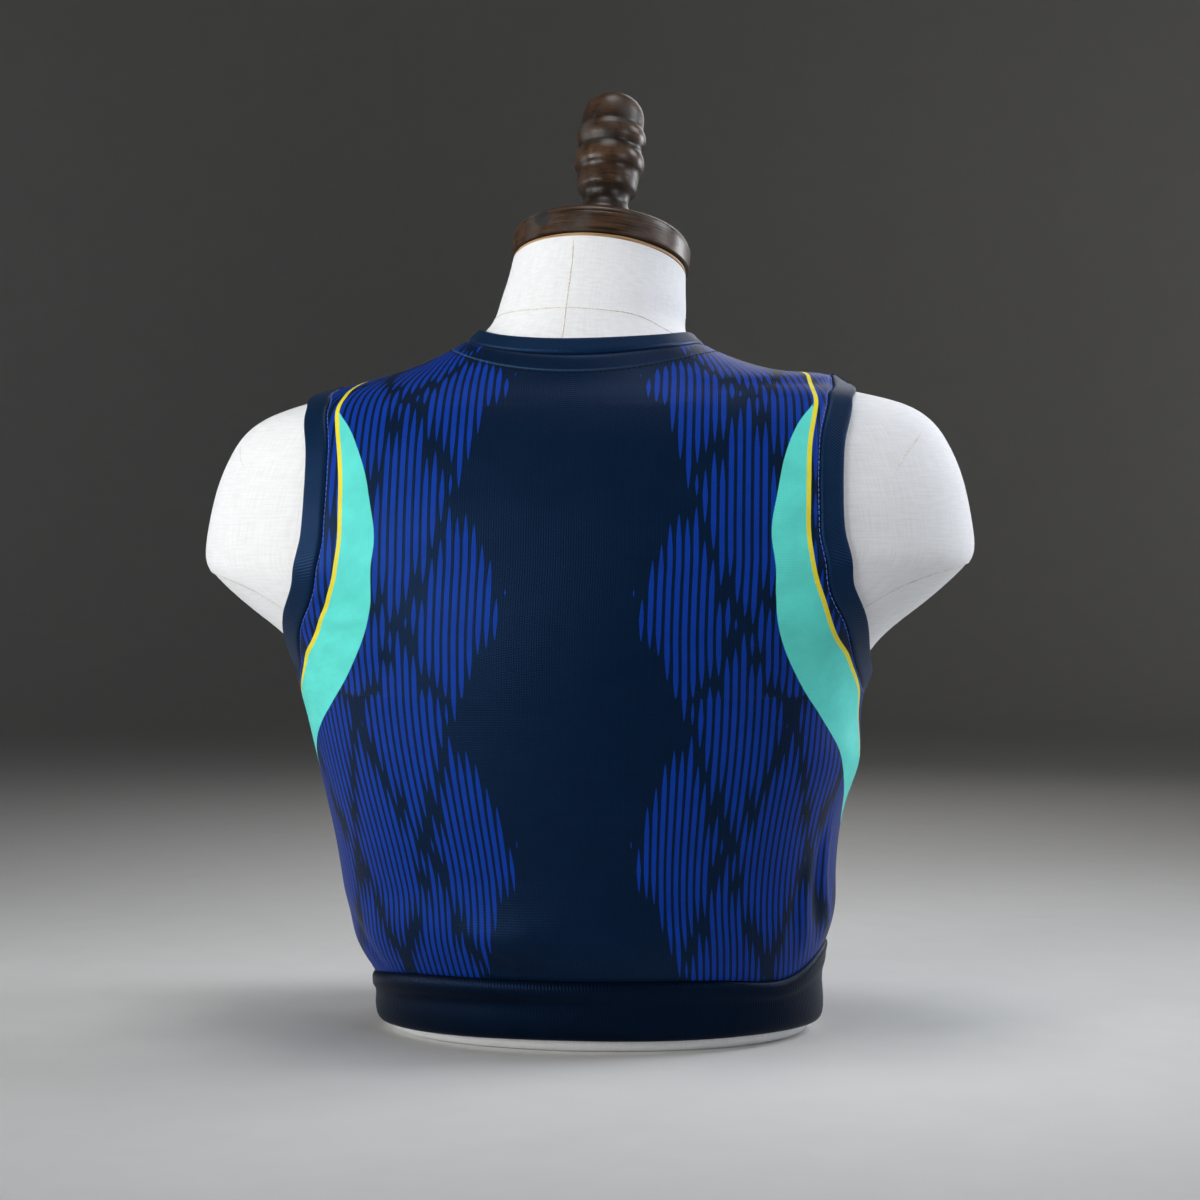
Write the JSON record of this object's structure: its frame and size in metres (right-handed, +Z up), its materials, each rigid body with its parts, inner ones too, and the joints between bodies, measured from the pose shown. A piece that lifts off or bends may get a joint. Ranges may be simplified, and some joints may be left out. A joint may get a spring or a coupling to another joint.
{
  "type": "crop tank top on a tabletop dress form",
  "caption": "Sleeveless cropped sports tank top with bound neck and armholes and a deep hem band, worn by a limbless tabletop dress form with a turned wooden finial.",
  "frame": {"origin": "on the floor, on the flat base of the form, in the plane of its shoulder seams", "axes": "+Z up, +Y out of the wearer's back, +X towards the wearer's left"},
  "size_m": [0.4242, 0.2364, 0.5208],
  "materials": {
    "printed_jersey": "matt sports interlock, printed",
    "navy_jersey": "matt sports interlock, doubled",
    "linen": "plain woven linen over foam",
    "pale_wood": "bare pale wood",
    "stained_wood": "dark stain under gloss varnish"
  },
  "bodies": {
    "root": {"back_panel": "printed_jersey", "front_panel": "printed_jersey", "neckband": "navy_jersey", "armhole_band_left": "navy_jersey", "armhole_band_right": "navy_jersey", "hem_band": "navy_jersey", "form_body": "linen", "neck_plate": "pale_wood", "neck_cap": "stained_wood", "finial": "stained_wood"}
  },
  "joints": []
}
